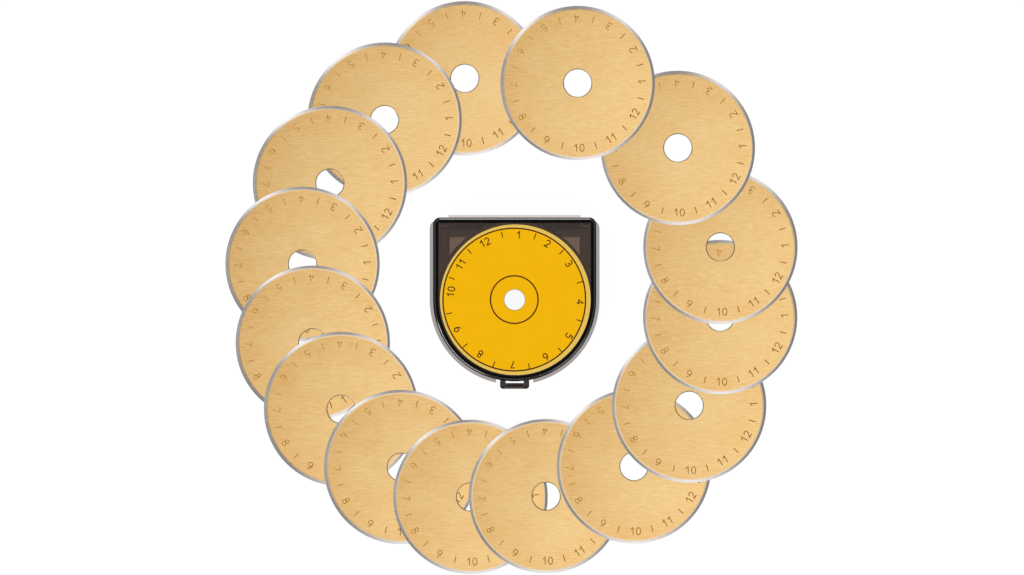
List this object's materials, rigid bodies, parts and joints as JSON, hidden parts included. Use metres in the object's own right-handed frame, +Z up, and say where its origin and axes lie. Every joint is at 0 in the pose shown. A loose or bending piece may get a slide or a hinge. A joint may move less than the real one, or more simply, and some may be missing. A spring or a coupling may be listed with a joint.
{
  "type": "rotary cutter blade set",
  "caption": "Overlapping ring of round gold-coated rotary-cutter blades with ground edges, around a smoky D-shaped hinged storage case with a round label.",
  "frame": {"origin": "axis of the case's post at the level of the table", "axes": "+Z up along the post, +Y toward the case's hinge, +X to the right with the latch toward the viewer"},
  "size_m": [0.1668, 0.167, 0.0087],
  "materials": {
    "smoke_plastic": "smoky clear gloss",
    "label_paper": "printed, semi-gloss",
    "coated_steel": "brushed, gold titanium-look coating"
  },
  "bodies": {
    "case": {"case_base": "smoke_plastic"},
    "lid": {"case_lid": "smoke_plastic", "label": "label_paper"},
    "blade_01": {"blade_01": "coated_steel"},
    "blade_02": {"blade_02": "coated_steel"},
    "blade_03": {"blade_03": "coated_steel"},
    "blade_04": {"blade_04": "coated_steel"},
    "blade_05": {"blade_05": "coated_steel"},
    "blade_06": {"blade_06": "coated_steel"},
    "blade_07": {"blade_07": "coated_steel"},
    "blade_08": {"blade_08": "coated_steel"},
    "blade_09": {"blade_09": "coated_steel"},
    "blade_10": {"blade_10": "coated_steel"},
    "blade_11": {"blade_11": "coated_steel"},
    "blade_12": {"blade_12": "coated_steel"},
    "blade_13": {"blade_13": "coated_steel"},
    "blade_14": {"blade_14": "coated_steel"},
    "blade_15": {"blade_15": "coated_steel"}
  },
  "joints": [
    {"name": "lid_hinge", "type": "hinge", "parent": "case", "child": "lid", "pos_m": [0, 0.0226, 0.003], "axis": [-1, 0, 0], "range_deg": [0, 95]},
    {"name": "blade_01_lift", "type": "slide", "parent": "case", "child": "blade_01", "axis": [0, 0, 1], "range_m": [0, 0.02]},
    {"name": "blade_02_lift", "type": "slide", "parent": "blade_01", "child": "blade_02", "axis": [0, 0, 1], "range_m": [0, 0.02]},
    {"name": "blade_03_lift", "type": "slide", "parent": "blade_02", "child": "blade_03", "axis": [0, 0, 1], "range_m": [0, 0.02]},
    {"name": "blade_04_lift", "type": "slide", "parent": "blade_03", "child": "blade_04", "axis": [0, 0, 1], "range_m": [0, 0.02]},
    {"name": "blade_05_lift", "type": "slide", "parent": "blade_04", "child": "blade_05", "axis": [0, 0, 1], "range_m": [0, 0.02]},
    {"name": "blade_06_lift", "type": "slide", "parent": "blade_05", "child": "blade_06", "axis": [0, 0, 1], "range_m": [0, 0.02]},
    {"name": "blade_07_lift", "type": "slide", "parent": "blade_06", "child": "blade_07", "axis": [0, 0, 1], "range_m": [0, 0.02]},
    {"name": "blade_08_lift", "type": "slide", "parent": "blade_07", "child": "blade_08", "axis": [0, 0, 1], "range_m": [0, 0.02]},
    {"name": "blade_09_lift", "type": "slide", "parent": "blade_08", "child": "blade_09", "axis": [0, 0, 1], "range_m": [0, 0.02]},
    {"name": "blade_10_lift", "type": "slide", "parent": "blade_09", "child": "blade_10", "axis": [0, 0, 1], "range_m": [0, 0.02]},
    {"name": "blade_11_lift", "type": "slide", "parent": "blade_10", "child": "blade_11", "axis": [0, 0, 1], "range_m": [0, 0.02]},
    {"name": "blade_12_lift", "type": "slide", "parent": "blade_11", "child": "blade_12", "axis": [0, 0, 1], "range_m": [0, 0.02]},
    {"name": "blade_13_lift", "type": "slide", "parent": "blade_12", "child": "blade_13", "axis": [0, 0, 1], "range_m": [0, 0.02]},
    {"name": "blade_14_lift", "type": "slide", "parent": "blade_13", "child": "blade_14", "axis": [0, 0, 1], "range_m": [0, 0.02]},
    {"name": "blade_15_lift", "type": "slide", "parent": "blade_14", "child": "blade_15", "axis": [0, 0, 1], "range_m": [0, 0.02]}
  ]
}
